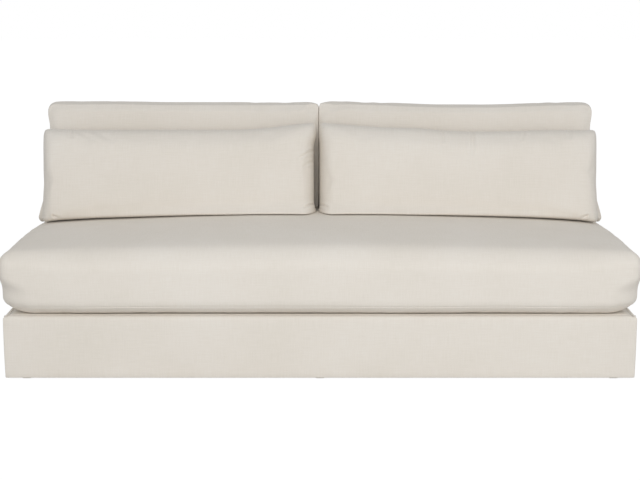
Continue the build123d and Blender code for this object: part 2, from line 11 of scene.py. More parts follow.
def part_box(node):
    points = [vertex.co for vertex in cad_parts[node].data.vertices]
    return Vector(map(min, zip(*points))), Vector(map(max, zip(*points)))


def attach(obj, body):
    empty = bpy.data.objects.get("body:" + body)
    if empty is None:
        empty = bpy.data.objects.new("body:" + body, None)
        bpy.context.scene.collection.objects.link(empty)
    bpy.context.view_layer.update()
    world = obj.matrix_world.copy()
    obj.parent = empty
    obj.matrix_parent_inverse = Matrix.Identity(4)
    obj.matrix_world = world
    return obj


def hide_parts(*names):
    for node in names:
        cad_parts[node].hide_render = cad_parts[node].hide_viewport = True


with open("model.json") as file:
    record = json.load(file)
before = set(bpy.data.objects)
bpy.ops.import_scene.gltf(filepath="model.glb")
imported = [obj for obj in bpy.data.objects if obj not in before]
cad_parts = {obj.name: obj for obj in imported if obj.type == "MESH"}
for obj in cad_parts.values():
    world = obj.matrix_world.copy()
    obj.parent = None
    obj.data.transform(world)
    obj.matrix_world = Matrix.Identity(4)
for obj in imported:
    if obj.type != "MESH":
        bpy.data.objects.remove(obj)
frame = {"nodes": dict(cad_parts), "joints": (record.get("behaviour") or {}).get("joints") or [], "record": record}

# An armless linen sofa. X runs along it, the front faces -Y and Z is up, all in metres.
# The back and lumbar cushions are drawn along x, up the lean and forward, and then leant back.

scene = bpy.context.scene
nodes = frame["nodes"]
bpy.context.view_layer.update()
print("frame loaded,", len(nodes), "nodes")

rightAxis = Vector((1, 0, 0))
upAxis = Vector(next(j["axis"] for j in frame["joints"] if j["name"] == "left_back_cushion_lift"))
forwardAxis = Vector((0, -upAxis.z, upAxis.y))  # square to the inside back, towards the sitter


def nodeRange(name, axis):
    reach = [v.co.dot(axis) for v in nodes[name].data.vertices]
    return min(reach), max(reach)


def leaning(x, up, forward):
    return Vector((x, 0, 0)) + up * upAxis + forward * forwardAxis


def smooth(value):
    value = min(max(value, 0.0), 1.0)
    return value * value * (3 - 2 * value)


def softFloor(value, floor, softness):
    # keeps a value above a floor, with a rounded approach
    gap = (value - floor) / softness
    if gap > 20:
        return value
    if gap < -20:
        return floor
    return floor + softness * math.log1p(math.exp(gap))


# ---- materials

def linear(hexColour):
    parts = [int(hexColour[i:i + 2], 16) / 255 for i in (1, 3, 5)]
    return [p / 12.92 if p <= 0.04045 else ((p + 0.055) / 1.055) ** 2.4 for p in parts] + [1.0]


def addNode(tree, kind, links=None, **settings):
    # adds a node and gives back its outputs; links gives each input a value or another output
    node = tree.nodes.new(kind)
    for key, value in settings.items():
        setattr(node, key, value)
    for key, value in (links or {}).items():
        if isinstance(value, bpy.types.NodeSocket):
            tree.links.new(value, node.inputs[key])
        else:
            node.inputs[key].default_value = value
    return node.outputs


def newMaterial(name, colour, roughness, **sockets):
    material = bpy.data.materials.new(name)
    material.use_nodes = True
    shader = material.node_tree.nodes["Principled BSDF"]
    shader.inputs["Base Color"].default_value = linear(colour)
    shader.inputs["Roughness"].default_value = roughness
    for key, value in sockets.items():
        shader.inputs[key.replace("_", " ")].default_value = value
    return material, material.node_tree, shader


def crossedThreads(tree, place, pitch):
    # threads crossing at a pitch, as a height from -1 to 1
    turns = 2 * math.pi / pitch
    turned = addNode(tree, "ShaderNodeMapping", {"Vector": place, "Scale": (turns, turns, 1)})[0]
    waves = addNode(tree, "ShaderNodeVectorMath", {0: turned}, operation="SINE")[0]
    wave = addNode(tree, "ShaderNodeSeparateXYZ", {0: waves})
    return addNode(tree, "ShaderNodeMath", {0: wave[0], 1: wave[1]}, operation="MULTIPLY")[0]


def colourAndRaise(tree, shader, shade, stops, height, depth):
    # colours the surface by a shade and raises it by a height
    toned = addNode(tree, "ShaderNodeValToRGB", {0: shade})[0]
    elements = toned.node.color_ramp.elements
    for i, (place, colour) in enumerate(stops):
        stop = elements[i] if i < 2 else elements.new(place)
        stop.position, stop.color = place, linear(colour)
    tree.links.new(toned, shader.inputs["Base Color"])
    bump = addNode(tree, "ShaderNodeBump", {"Height": height, "Distance": depth})[0]
    tree.links.new(bump, shader.inputs["Normal"])


linen = {
    "colour": "#E7E0D6",
    "tones": ((0.35, "#E3DCD1"), (0.65, "#EAE4DB"), (0.50, "#E7E0D6")),
    "threadPitch": 0.0022,  # coarser than the real 0.6 mm, so that the threads show
    "slubWidth": 0.00352,  # a slub is a thick stretch of a thread
    "slubLength": 0.060,
    "slubShare": 0.30,  # how much slubs and clouds change the colour
    "cloudShare": 0.40,
    "weaveDepth": 0.00006,
    "slubDepth": 0.00005,
    "cloudSize": 0.28,
}


def linenMaterial():
    # plain-woven linen blend: matt, with uneven threads that show as faint pale and dark slubs
    material, tree, shader = newMaterial("wovenLinenCloth", linen["colour"], 0.92,
                                         Sheen_Weight=0.10, Sheen_Roughness=0.5, Specular_IOR_Level=0.25)
    uv = addNode(tree, "ShaderNodeUVMap", uv_map="cloth")[0]
    weave = crossedThreads(tree, uv, linen["threadPitch"])
    streaks = []
    fine, long = 1 / linen["slubWidth"], 1 / linen["slubLength"]
    for scale in ((fine, long, 1), (long, fine, 1)):
        mapped = addNode(tree, "ShaderNodeMapping", {"Vector": uv, "Scale": scale})[0]
        streak = addNode(tree, "ShaderNodeTexNoise", {"Vector": mapped, "Scale": 1.0, "Detail": 2.0})
        streaks.append(streak[0])
    slub = addNode(tree, "ShaderNodeMath", {0: streaks[0], 1: streaks[1]}, operation="ADD")[0]
    body = addNode(tree, "ShaderNodeTexCoord")["Object"]
    cloudScale = 1 / linen["cloudSize"]
    cloud = addNode(tree, "ShaderNodeTexNoise", {"Vector": body, "Scale": cloudScale, "Detail": 3.0})[0]
    clouds = addNode(tree, "ShaderNodeMath", {0: cloud, 1: linen["cloudShare"]}, operation="MULTIPLY")[0]
    shade = addNode(tree, "ShaderNodeMath", {0: slub, 1: linen["slubShare"], 2: clouds},
                    operation="MULTIPLY_ADD")[0]
    slubs = addNode(tree, "ShaderNodeMath", {0: slub, 1: linen["slubDepth"]}, operation="MULTIPLY")[0]
    height = addNode(tree, "ShaderNodeMath", {0: weave, 1: linen["weaveDepth"], 2: slubs},
                     operation="MULTIPLY_ADD")[0]
    colourAndRaise(tree, shader, shade, linen["tones"], height, 1.0)
    return material


timber = {
    "colour": "#CDAE82",
    "tones": ((0.35, "#B08D5F"), (0.65, "#D9BD93")),
    "grainWidth": 1 / 60,  # a band of grain in the board, and its length
    "grainLength": 1 / 3,
    "grainDepth": 0.0003,
}


def grainMaterial():
    # sawn and planed hardwood, bare: pale, matt, with long streaks along the board
    material, tree, shader = newMaterial("planedHardwood", timber["colour"], 0.62)
    body = addNode(tree, "ShaderNodeTexCoord")["Object"]
    fine, long = 1 / timber["grainWidth"], 1 / timber["grainLength"]
    mapped = addNode(tree, "ShaderNodeMapping", {"Vector": body, "Scale": (long, fine, fine)})[0]
    grain = addNode(tree, "ShaderNodeTexNoise", {
        "Vector": mapped, "Scale": 1.0, "Detail": 6.0, "Distortion": 0.6})[0]
    colourAndRaise(tree, shader, grain, timber["tones"], grain, timber["grainDepth"])
    return material


def texturedMaterial(name, colour, otherColour, roughness, depth, pitch=None, grain=None, **sockets):
    # two near colours and a small relief: woven threads at a pitch, with painted shade in the dips between them,
    # or an irregular grain of a size
    material, tree, shader = newMaterial(name, colour, roughness, **sockets)
    body = addNode(tree, "ShaderNodeTexCoord")["Object"]
    if pitch:
        height = crossedThreads(tree, body, pitch)
        shade = addNode(tree, "ShaderNodeMath", {0: height, 1: 0.5, 2: 0.5}, operation="MULTIPLY_ADD")[0]
        colour, otherColour = otherColour, colour  # painted shade: the gaps between threads are coloured darker
    else:
        shade = height = addNode(tree, "ShaderNodeTexNoise", {
            "Vector": body, "Scale": 1 / grain, "Detail": 4.0})[0]
    colourAndRaise(tree, shader, shade, ((0, colour), (1, otherColour)), height, depth)
    return material


finishes = {
    "linen_cloth": linenMaterial(),
    # cut foam: dull, yellowish, full of open cells
    "foam": texturedMaterial("openCellFoam", "#E9DFB8", "#DCCF9E", 0.95, 0.0006, grain=0.002),
    # carded fibre: white, dull and fluffy
    "fibre_fill": texturedMaterial("polyesterFibre", "#F1F1EE", "#DEDEDA", 0.95, 0.002, grain=0.006,
                                   Sheen_Weight=0.3),
    # spun-bonded lining: black, thin and flat
    "lining_cloth": texturedMaterial("nonWovenLining", "#1E1E1E", "#2C2C2C", 0.9, 0.0002, grain=0.0015),
    # elastic webbing: brown, with ribs of thick threads and painted shade in the gaps between them
    "webbing": texturedMaterial("wovenWebbing", "#4A3F33", "#2B241D", 0.8, 0.0004, pitch=0.004,
                                Sheen_Weight=0.1),
    "frame_timber": grainMaterial(),
    # galvanised steel: grey, half bright, with a faint spangle
    "zinc_steel": texturedMaterial("zincPlatedSteel", "#B9BCBE", "#A6AAAD", 0.38, 0.00005, grain=0.004,
                                   Metallic=1.0),
    # moulded nylon: milky, with a soft shine
    "glide_plastic": texturedMaterial("naturalNylon", "#DEDBD2", "#D5D1C6", 0.42, 0.00005, grain=0.001),
    # zip tape: fine woven threads, dyed to match the linen, with painted shade in the gaps between them
    "zip_tape": texturedMaterial("wovenZipTape", "#DED7CA", "#CFC7B8", 0.85, 0.0001, pitch=0.0012,
                                 Sheen_Weight=0.1),
    # painted zinc: smooth and slightly glossy
    "zip_metal": texturedMaterial("enamelledZinc", "#D9D3C6", "#D2CBBD", 0.35, 0.00003, grain=0.003,
                                  Coat_Weight=0.3),
}
for entry in frame["record"]["subparts"]:
    nodes[entry["node"]].data.materials.clear()
    nodes[entry["node"]].data.materials.append(finishes[entry["material_slot"]])
print("materials made")


# ---- cloth pieces drawn on a lattice

closeRow = 0.004  # how near the lattice lines lie on both sides of a seam


def stations(low, high, step, extra=()):
    # even lattice lines, with finer ones at a seam
    count = max(2, round((high - low) / step))
    lines = [low + (high - low) * i / count for i in range(count + 1)]
    for place in extra:
        lines = [v for v in lines if abs(v - place) > 0.4 * step or v in (low, high)]
        lines += [place - closeRow, place, place + closeRow]
    return sorted(lines)


def boxLattice(xs, ys, zs):
    # a box's outside on lattice lines: its points, quads and flat cloth places
    index, points, faces, flats = {}, [], [], []

    def corner(i, j, k):
        if (i, j, k) not in index:
            index[i, j, k] = len(points)
            points.append((xs[i], ys[j], zs[k]))
        return index[i, j, k]

    def panel(count, other, at, flat, turned):
        for a in range(count):
            for b in range(other):
                ring = [(a, b), (a + 1, b), (a + 1, b + 1), (a, b + 1)]
                if turned:
                    ring.reverse()
                faces.append([corner(*at(*c)) for c in ring])
                flats.append([flat(*c) for c in ring])

    nx, ny, nz = len(xs) - 1, len(ys) - 1, len(zs) - 1
    panel(nx, ny, lambda a, b: (a, b, nz), lambda a, b: (xs[a], ys[b]), False)
    panel(nx, ny, lambda a, b: (a, b, 0), lambda a, b: (xs[a], -ys[b]), True)
    panel(nx, nz, lambda a, b: (a, 0, b), lambda a, b: (xs[a], ys[0] - zs[nz] + zs[b]), False)
    panel(nx, nz, lambda a, b: (a, ny, b), lambda a, b: (-xs[a], zs[b]), True)
    panel(ny, nz, lambda a, b: (nx, a, b), lambda a, b: (ys[a], zs[b]), False)
    panel(ny, nz, lambda a, b: (0, a, b), lambda a, b: (-ys[a], zs[b]), True)
    return points, faces, flats


def makePiece(name, points, faces, flats):
    mesh = bpy.data.meshes.new(name)
    mesh.from_pydata([tuple(p) for p in points], [], faces)
    layer = mesh.uv_layers.new(name="cloth")
    layer.data.foreach_set("uv", [value for face in flats for place in face for value in place])
    mesh.polygons.foreach_set("use_smooth", [True] * len(mesh.polygons))
    mesh.materials.append(finishes["linen_cloth"])
    piece = bpy.data.objects.new(name, mesh)
    scene.collection.objects.link(piece)
    return piece


def finishPiece(piece, body, *replaced):
    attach(piece, body)
    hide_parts(*replaced)


def applyModifiers(piece):
    evaluated = piece.evaluated_get(bpy.context.evaluated_depsgraph_get())
    mesh = bpy.data.meshes.new_from_object(evaluated)
    piece.modifiers.clear()
    old, piece.data = piece.data, mesh
    bpy.data.meshes.remove(old)


def subdivide(piece, levels=1):
    modifier = piece.modifiers.new("finer", "SUBSURF")
    modifier.levels = modifier.render_levels = levels
    applyModifiers(piece)


def puff(piece, seamPoints, puffing, held=()):
    # puffs a cushion up with cloth physics, while its seams draw the panels in
    start = [v.co.copy() for v in piece.data.vertices]
    group = piece.vertex_groups.new(name="seams")
    group.add(list(seamPoints), 1.0, "REPLACE")
    modifier = piece.modifiers.new("cloth", "CLOTH")
    cloth = modifier.settings
    cloth.quality = 5
    cloth.mass = 0.2
    cloth.tension_stiffness = cloth.compression_stiffness = puffing["stiffness"]
    cloth.shear_stiffness = puffing["stiffness"] / 3
    cloth.bending_stiffness = puffing["bending"]
    cloth.tension_damping = cloth.compression_damping = cloth.shear_damping = 5
    cloth.air_damping = 2
    cloth.use_pressure = True
    cloth.uniform_pressure_force = puffing["pressure"]
    cloth.effector_weights.gravity = 0
    cloth.vertex_group_shrink = group.name
    cloth.shrink_min = puffing["panelShrink"]
    cloth.shrink_max = puffing["seamShrink"]
    if held:
        pins = piece.vertex_groups.new(name="held")
        pins.add(list(held), 1.0, "REPLACE")
        cloth.vertex_group_mass = pins.name
    modifier.collision_settings.use_collision = False
    modifier.collision_settings.use_self_collision = False
    modifier.point_cache.frame_start = 1
    modifier.point_cache.frame_end = puffing["frames"]
    for number in range(1, puffing["frames"] + 1):
        scene.frame_set(number)
    applyModifiers(piece)
    scene.frame_set(1)
    for vertex, origin in zip(piece.data.vertices, start):
        move = vertex.co - origin
        if move.length > puffing["cap"]:
            vertex.co = origin + move * (puffing["cap"] / move.length)
    piece.vertex_groups.clear()
    if puffing.get("calm"):
        easing = piece.modifiers.new("calm", "SMOOTH")
        easing.factor = 0.5
        easing.iterations = puffing["calm"]
        applyModifiers(piece)


def fitRange(piece, axis, low, high):
    # stretches a piece along one axis to span from low to high
    values = [v.co[axis] for v in piece.data.vertices]
    first, last = min(values), max(values)
    for vertex in piece.data.vertices:
        vertex.co[axis] = low + (high - low) * (vertex.co[axis] - first) / (last - first)


edgeMark = 0.016  # how far apart an edge is measured


def drawEdge(piece, run, out, sign, ends, target, reach):
    # moves a cushion's edge onto a drawn line: run is the axis along it, out the axis across it
    # with its sign, and reach how far in the move counts
    places = np.array([v.co[:] for v in piece.data.vertices])
    outs = sign * places[:, out]
    marks = np.linspace(ends[0], ends[1], max(12, round((ends[1] - ends[0]) / edgeMark)))
    near = marks[1] - marks[0]
    edge = np.array([outs[np.abs(places[:, run] - mark) < near].max() for mark in marks])
    edge = np.convolve(np.pad(edge, 1, mode="edge"), (0.25, 0.5, 0.25), mode="valid")
    wanted = np.array([target(mark) for mark in marks])
    shift = np.interp(places[:, run], marks, wanted - edge)
    share = np.clip((outs - edge.min() + reach) / reach, 0, 1)
    places[:, out] += sign * shift * share * share * (3 - 2 * share)
    piece.data.vertices.foreach_set("co", places.ravel())


def along(points, place):
    # a drawn line given by a few points, read at a place
    return float(np.interp(place, [p[0] for p in points], [p[1] for p in points]))


crease = {
    "reach": 3,  # in widths of the crease, as the ridges' place is
    "ridgePlace": 1.9,
    "ridge": 0.45,  # the ridges' height and the fading, as shares of the depth
    "fade": 0.75,
}


def creaseDepth(creases, x, up):
    # how deep the cloth is creased at a place: a crease fades out along its way, between two low
    # ridges of pushed-up cloth
    total = 0.0
    for (x1, up1), (x2, up2), width, depth in creases:
        if abs(x - (x1 + x2) / 2) > abs(x1 - x2) / 2 + crease["reach"] * width:
            continue
        if abs(up - (up1 + up2) / 2) > abs(up1 - up2) / 2 + crease["reach"] * width:
            continue
        run, offset = Vector((x2 - x1, up2 - up1)), Vector((x - x1, up - up1))
        share = min(max(offset.dot(run) / run.length_squared, 0), 1)
        gap = (offset - share * run).length / width
        fade = 1 - crease["fade"] * share
        ridge = crease["ridge"] * math.exp(-(gap - crease["ridgePlace"]) ** 2)
        total += depth * fade * (math.exp(-gap * gap) - ridge)
    return total


# ---- seat cushion

seat = {
    "step": 0.014,
    "noseRadius": 0.072,
    "noseEndRadius": 0.046,  # at the front's two ends
    "footRadius": 0.052,
    "rearRadius": 0.038,
    "endRadius": 0.038,
    "cornerReach": 0.138,  # the front foot corners are cut round
    "cornerRise": 0.054,
    "cornerSpread": 0.03,
    "seamHeight": 0.020,  # the seam round the foot, and how far it is drawn in
    "seamDepth": 0.0030,
    "crown": 0.021,
    "rearCrown": 0.6,  # behind the middle the crown drops only by this share
    "endDrop": 0.036,
    "endTilt": (0.001, 0.019),  # how far the ends sit up at mid depth, and how much more in front
    "endPull": 0.007,  # how far the ends are drawn in between their corners
    "topWave": 0.0025,
    "faceWave": 0.0018,
    "footWave": ((-1.02, 0.007), (-0.85, 0.008), (-0.4, 0.012), (0.0, 0.012), (0.35, 0.009),
                 (0.6, 0.012), (0.9, 0.008), (1.02, 0.007)),
    "puff": {"pressure": 3.0, "frames": 14, "stiffness": 15, "bending": 0.6,
             "panelShrink": -0.008, "seamShrink": 0.01, "cap": 0.008},
}


def seatShape(point, low, high):
    # rounds, crowns and tapers one lattice point of the seat cushion
    half = (high - low) / 2
    middle = (high + low) / 2
    offset = Vector(point) - middle
    across, depth, level = (offset[k] / half[k] for k in range(3))
    front = smooth((0.1 - depth) / 0.7)  # 1 at the front, 0 at the rear
    top = smooth((level + 0.3) / 0.6)
    end = smooth((abs(offset.x) - half.x + 0.30) / 0.26)  # 1 at both ends
    noseRadius = seat["noseRadius"] + end * (seat["noseEndRadius"] - seat["noseRadius"])
    frontRadius = top * noseRadius + (1 - top) * seat["footRadius"]
    radius = seat["rearRadius"] + front * (frontRadius - seat["rearRadius"])
    corner = front * end * (1 - top)
    reach = Vector((
        seat["endRadius"] + corner * (seat["cornerReach"] - seat["endRadius"]),
        radius + corner * seat["cornerSpread"],
        radius + corner * (seat["cornerRise"] - radius),
    ))
    inner = Vector([min(max(offset[k], reach[k] - half[k]), half[k] - reach[k]) for k in range(3)])
    out = Vector([(offset[k] - inner[k]) / reach[k] for k in range(3)])
    if out.length > 1e-6:
        out.normalize()
    place = middle + inner + Vector([out[k] * reach[k] for k in range(3)])
    share = smooth((level + 1) / 2)
    crownDrop = seat["crown"] * depth * depth * (seat["rearCrown"] if depth > 0 else 1.0)
    endRise, tilt = seat["endTilt"]
    place.z -= share * (crownDrop + seat["endDrop"] * across * across)
    place.z += share * across ** 4 * (endRise - tilt * depth)
    drawn = 1 - (2 * share - 1) ** 2
    pull = seat["endPull"] * drawn * (1 - depth * depth) * smooth(abs(across) * 4 - 3)
    place.x -= math.copysign(pull, across)
    return place


zipBed = {
    "under": 0.0009,  # how far the cloth lies below the face of the tape
    "reach": 0.05,
    "endFade": 0.02,
    "margin": 0.004,  # flat cloth beside the tape, and how far it then takes to rise
    "sideFade": 0.016,
}


def flattenZip(piece, tapeName, outward):
    # lays the cover flat just under its zip tape
    xRange, outRange = (nodeRange(tapeName, axis) for axis in (rightAxis, outward))
    side = outward.cross(rightAxis)
    sideRange = nodeRange(tapeName, side)
    plane = outRange[1] - zipBed["under"]
    for vertex in piece.data.vertices:
        out = vertex.co.dot(outward)
        if out < plane - zipBed["reach"]:
            continue
        beyondX = max(xRange[0] - vertex.co.x, vertex.co.x - xRange[1], 0)
        place = vertex.co.dot(side)
        beyondSide = max(sideRange[0] - place, place - sideRange[1], 0)
        near = smooth(1 - max(beyondSide - zipBed["margin"], 0) / zipBed["sideFade"])
        near *= smooth(1 - beyondX / zipBed["endFade"])
        vertex.co += outward * (plane - out) * near


def makeSeat():
    low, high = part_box("seat_cushion_cover")
    seamLevel = low.z + seat["seamHeight"]
    xs = stations(low.x, high.x, seat["step"])
    ys = stations(low.y, high.y, seat["step"])
    zs = stations(low.z, high.z, seat["step"], extra=(seamLevel,))
    points, faces, flats = boxLattice(xs, ys, zs)
    seams = [i for i, p in enumerate(points) if abs(p[2] - seamLevel) < 0.001
             or (abs(p[0]) > high.x - 0.001 and (p[1] in (ys[0], ys[-1]) or p[2] == zs[-1]))]
    shaped = [seatShape(p, low, high) for p in points]
    piece = makePiece("seat_cushion", shaped, faces, flats)
    puff(piece, seams, seat["puff"])
    rise = max(v.co.z for v in piece.data.vertices) - high.z  # taken off again, so the height stays
    for index, vertex in enumerate(piece.data.vertices):
        place = vertex.co
        place.z -= rise * smooth((place.z - low.z) / (high.z - low.z))
        lift = smooth((place.z - low.z) / 0.1)
        front = smooth((low.y + 0.10 - place.y) / 0.08)
        place.z += noise.noise(Vector((place.x * 2.2, place.y * 3, 5.0))) * seat["topWave"] * lift
        place.y -= front * noise.noise(Vector((place.x * 4, place.z * 9, 1.0))) * seat["faceWave"]
        place.z += front * (1 - lift) * along(seat["footWave"], place.x)
        if abs(points[index][2] - seamLevel) < 0.001:
            towards = Vector((-place.x * 0.04, (low.y + high.y) / 2 - place.y, 0))
            place += towards.normalized() * seat["seamDepth"]
        place.z = softFloor(place.z, low.z + 0.0004, 0.002)
        place.y = min(place.y, high.y)
    flattenZip(piece, "seat_zip_tape", Vector((0, 1, 0)))
    subdivide(piece)
    finishPiece(piece, "seat_cushion", "seat_cushion_cover", "seat_cushion_wrap", "seat_cushion_core")
    return piece


seatPiece = makeSeat()
print("seat cushion made,", len(seatPiece.data.polygons), "faces")
seatTree = BVHTree.FromObject(seatPiece, bpy.context.evaluated_depsgraph_get())


def seatHeight(place):
    hit = seatTree.ray_cast(Vector((place.x, place.y, 1.5)), Vector((0, 0, -1)))[0]
    return -1.0 if hit is None else hit.z


slump = {
    "most": 0.04,  # how far a foot hangs down at the most
    "height": 0.16,  # how much of the cushion goes with it
    "rear": 0.31,  # behind this the seat no longer carries the cushion
    "rearFade": 0.05,
    "gap": 0.0008,  # the air left between two cushions that touch
    "touch": 0.012,
    "softness": 0.0015,
}


def settle(place, upLow):
    # lets a foot hang down onto the seat cushion where that slopes off at its ends
    foot = (upLow - place.y * upAxis.y) / upAxis.z
    gap = min(max(foot - seatHeight(place), 0.0), slump["most"])
    share = smooth(1 - (place.z - foot) / slump["height"])
    place.z -= gap * (share * smooth((slump["rear"] - place.y) / slump["rearFade"]))


def liftOffSeat(place):
    # moves a point of a cushion up out of the seat cushion
    floor = seatHeight(place)
    if place.z < floor + slump["touch"]:
        place.z = softFloor(place.z, floor + slump["gap"], slump["softness"])


# ---- back cushions: boxed, with a crowned front panel

back = {
    "step": 0.0125,
    "topInset": 0.013,  # from the crest of the boxing to the front panel's seam
    "endInset": 0.007,
    "outerCorner": 0.031,
    "innerCorner": 0.020,
    "footCorner": 0.006,  # the outer foot, pressed square by the weight
    "crown": 0.018,
    "seamRidge": 0.0022,
    "outerEdge": ((0.0, 1.0790), (0.12, 1.0750), (0.34, 1.0530), (0.6, 1.0580), (1.0, 1.0655)),
    "innerPlane": (-0.0055, 0.0),  # where the two cushions meet, at the front and at the rear
    "innerGap": 0.0006,  # from that plane to each cushion
    "crownFoot": 0.9,  # how much of the crown the seam itself lies back
    "overfill": 0.003,  # how far the crest stands above the drawn height
    "seamDrop": 0.024,  # how far the front panel's top seam lies below the crest
    "flare": 0.015,  # how far the outer front foot spreads under the weight
    "leftCrest": ((-1.05, 0.002), (-0.8, 0.003), (-0.6, -0.001), (-0.2, -0.001), (0.0, 0.001)),
    "rightCrest": ((0.0, 0.001), (0.12, 0.003), (0.3, -0.004), (0.45, -0.010), (0.68, -0.010),
                   (0.9, -0.002), (1.05, -0.001)),
    "puff": {"pressure": 3.0, "frames": 14, "stiffness": 15, "bending": 0.5,
             "panelShrink": -0.012, "seamShrink": 0.012, "cap": 0.010},
}


def halvesAndMiddle(*ranges):
    # along x, up the lean and forward
    return [(high - low) / 2 for low, high in ranges], Vector([(high + low) / 2 for low, high in ranges])


def roundedPlace(u, v, radius, halfU, halfV):
    # moves a rectangle's point so that the corners are rounded
    innerU = min(max(u, radius - halfU), halfU - radius)
    innerV = min(max(v, radius - halfV), halfV - radius)
    du, dv = u - innerU, v - innerV
    length = math.hypot(du, dv)
    if length < 1e-9:
        return u, v
    reach = max(abs(du), abs(dv))
    return innerU + du * reach / length, innerV + dv * reach / length


def makeBack(side, word):
    name = f"{word}_back_cushion"
    cover = f"{name}_cover"
    xLow, xHigh = nodeRange(cover, rightAxis)
    upLow, upHigh = nodeRange(cover, upAxis)
    rear, front = nodeRange(cover, forwardAxis)
    halves, middle = halvesAndMiddle((xLow, xHigh), (upLow, upHigh), (rear, front))
    halfX, halfUp, halfF = halves
    lattice = []
    for half in halves:
        lines = stations(-half, half, back["step"])
        lattice.append(sorted(lines + [closeRow - half, half - closeRow]))  # keeps the seams crisp
    points, faces, flats = boxLattice(*lattice)
    seams, held, shaped = [], [], []
    for i, (x, up, forward) in enumerate(points):
        onEdge = abs(x) > halfX - 1e-6 or abs(up) > halfUp - 1e-6
        if onEdge and abs(forward) > halfF - 1e-6:
            seams.append(i)
        if side * x < 1e-6 - halfX:
            held.append(i)  # the two cushions press each other flat here
        corner = back["innerCorner"]
        if side * x > 0:
            corner = back["outerCorner"] if up > 0 else back["footCorner"]
        u, v = roundedPlace(x, up, corner, halfX, halfUp)
        depth = forward / halfF
        bulge = 1 - math.sqrt(max(0.0, 1 - depth * depth))
        outer = 0.5 + 0.5 * side * u / halfX
        u -= side * outer * bulge * back["endInset"] * smooth((up / halfUp + 1) / 1.2)
        v *= 1 - bulge * back["topInset"] / halfUp
        w = forward
        if depth > 0:
            w -= back["crown"] * back["crownFoot"] * smooth(depth)
        if depth > 0.999:
            w += back["crown"] * ((1 - abs(x / halfX) ** 8) * (1 - abs(up / halfUp) ** 5)) ** 0.6
        shaped.append(middle + Vector((u, v, w)))
    piece = makePiece(name, shaped, faces, flats)
    puff(piece, seams, back["puff"], held)
    fitRange(piece, 1, upLow, upHigh)
    crestTop = upHigh + back["overfill"]
    drawEdge(piece, 0, 1, 1, (xLow + 0.06, xHigh - 0.06),
             lambda x: crestTop + along(back[word + "Crest"], x), halfUp)
    drawEdge(piece, 0, 1, -1, (xLow + 0.02, xHigh - 0.02), lambda x: -upLow, 0.1)
    drawEdge(piece, 1, 0, side, (upLow + 0.012, upHigh - 0.05),
             lambda up: along(back["outerEdge"], (up - upLow) / (upHigh - upLow)), 0.3)
    topSeam = sorted(
        (piece.data.vertices[i].co[0], piece.data.vertices[i].co[1]) for i in seams
        if points[i][2] > 0 and points[i][1] > halfUp - 1e-6 and abs(points[i][0]) < halfX - 0.05)
    for (x, up, forward), vertex in zip(points, piece.data.vertices):
        place = vertex.co
        seamLine = crestTop + along(back[word + "Crest"], place[0]) - back["seamDrop"]
        nearSeam = smooth(forward / halfF) * smooth(up / halfUp * 1.6 - 0.6)
        place[1] += (seamLine - along(topSeam, place[0])) * nearSeam
        low = min(max(1.1 - (place[1] - upLow) / (0.75 * halfUp), 0.0), 1.0)
        outer = smooth(1 - (halfX - side * x) / 0.16)
        place[0] += side * back["flare"] * low * outer * smooth(forward / halfF + 0.5)
    for i in seams:
        ridge = [math.copysign(1.0, points[i][k]) if abs(points[i][k]) > half - 1e-6 else 0.0
                 for k, half in enumerate(halves)]
        piece.data.vertices[i].co += Vector(ridge) * back["seamRidge"]
    for vertex in piece.data.vertices:
        x, up, forward = vertex.co
        forward = min(softFloor(forward, rear + 0.0003, 0.004), front)
        planeFront, planeRear = back["innerPlane"]
        plane = planeRear + (planeFront - planeRear) * (forward - rear) / (front - rear)
        nearPlane = smooth(1 - (side * x - 0.0015) / 0.05)
        x += (plane - side * 2 * back["innerGap"]) * nearPlane
        x = side * max(side * x, side * plane + back["innerGap"])
        vertex.co = leaning(x, up, forward)
        settle(vertex.co, upLow)
        liftOffSeat(vertex.co)
    flattenZip(piece, f"{name}_zip_tape", -upAxis)
    subdivide(piece)
    finishPiece(piece, name, cover, f"{name}_fill")


# ---- lumbar cushions: two panels sewn edge to edge, plump, with sides drawn in between the corners

